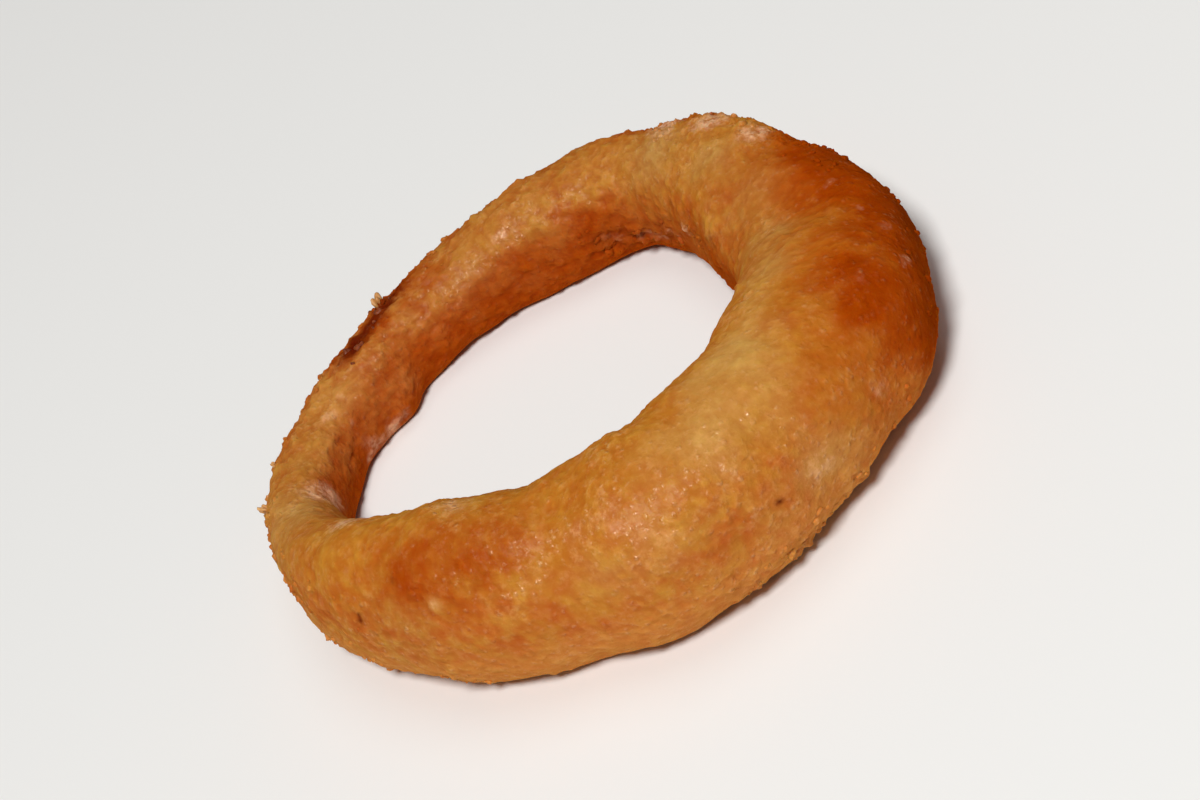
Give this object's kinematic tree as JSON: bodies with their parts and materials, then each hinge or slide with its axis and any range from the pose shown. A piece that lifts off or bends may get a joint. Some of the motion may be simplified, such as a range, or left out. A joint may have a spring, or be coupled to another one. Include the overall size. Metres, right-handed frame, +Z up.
{
  "type": "onion ring",
  "caption": "Thick battered, deep-fried onion ring with an uneven golden-brown crust and an open middle, lying flat.",
  "frame": {"origin": "middle of the bounding box, on the plane that the underside rests on", "axes": "+Z up, out of the shown side; +X towards the broad end; +Y towards the thin far side, so that -Y is the thick near side"},
  "size_m": [0.0898, 0.0878, 0.0244],
  "materials": {
    "batter_crust": "fried batter: golden-brown to pale gold, pimply, with a thin film of frying oil"
  },
  "bodies": {
    "root": {"onion_ring": "batter_crust"}
  },
  "joints": []
}
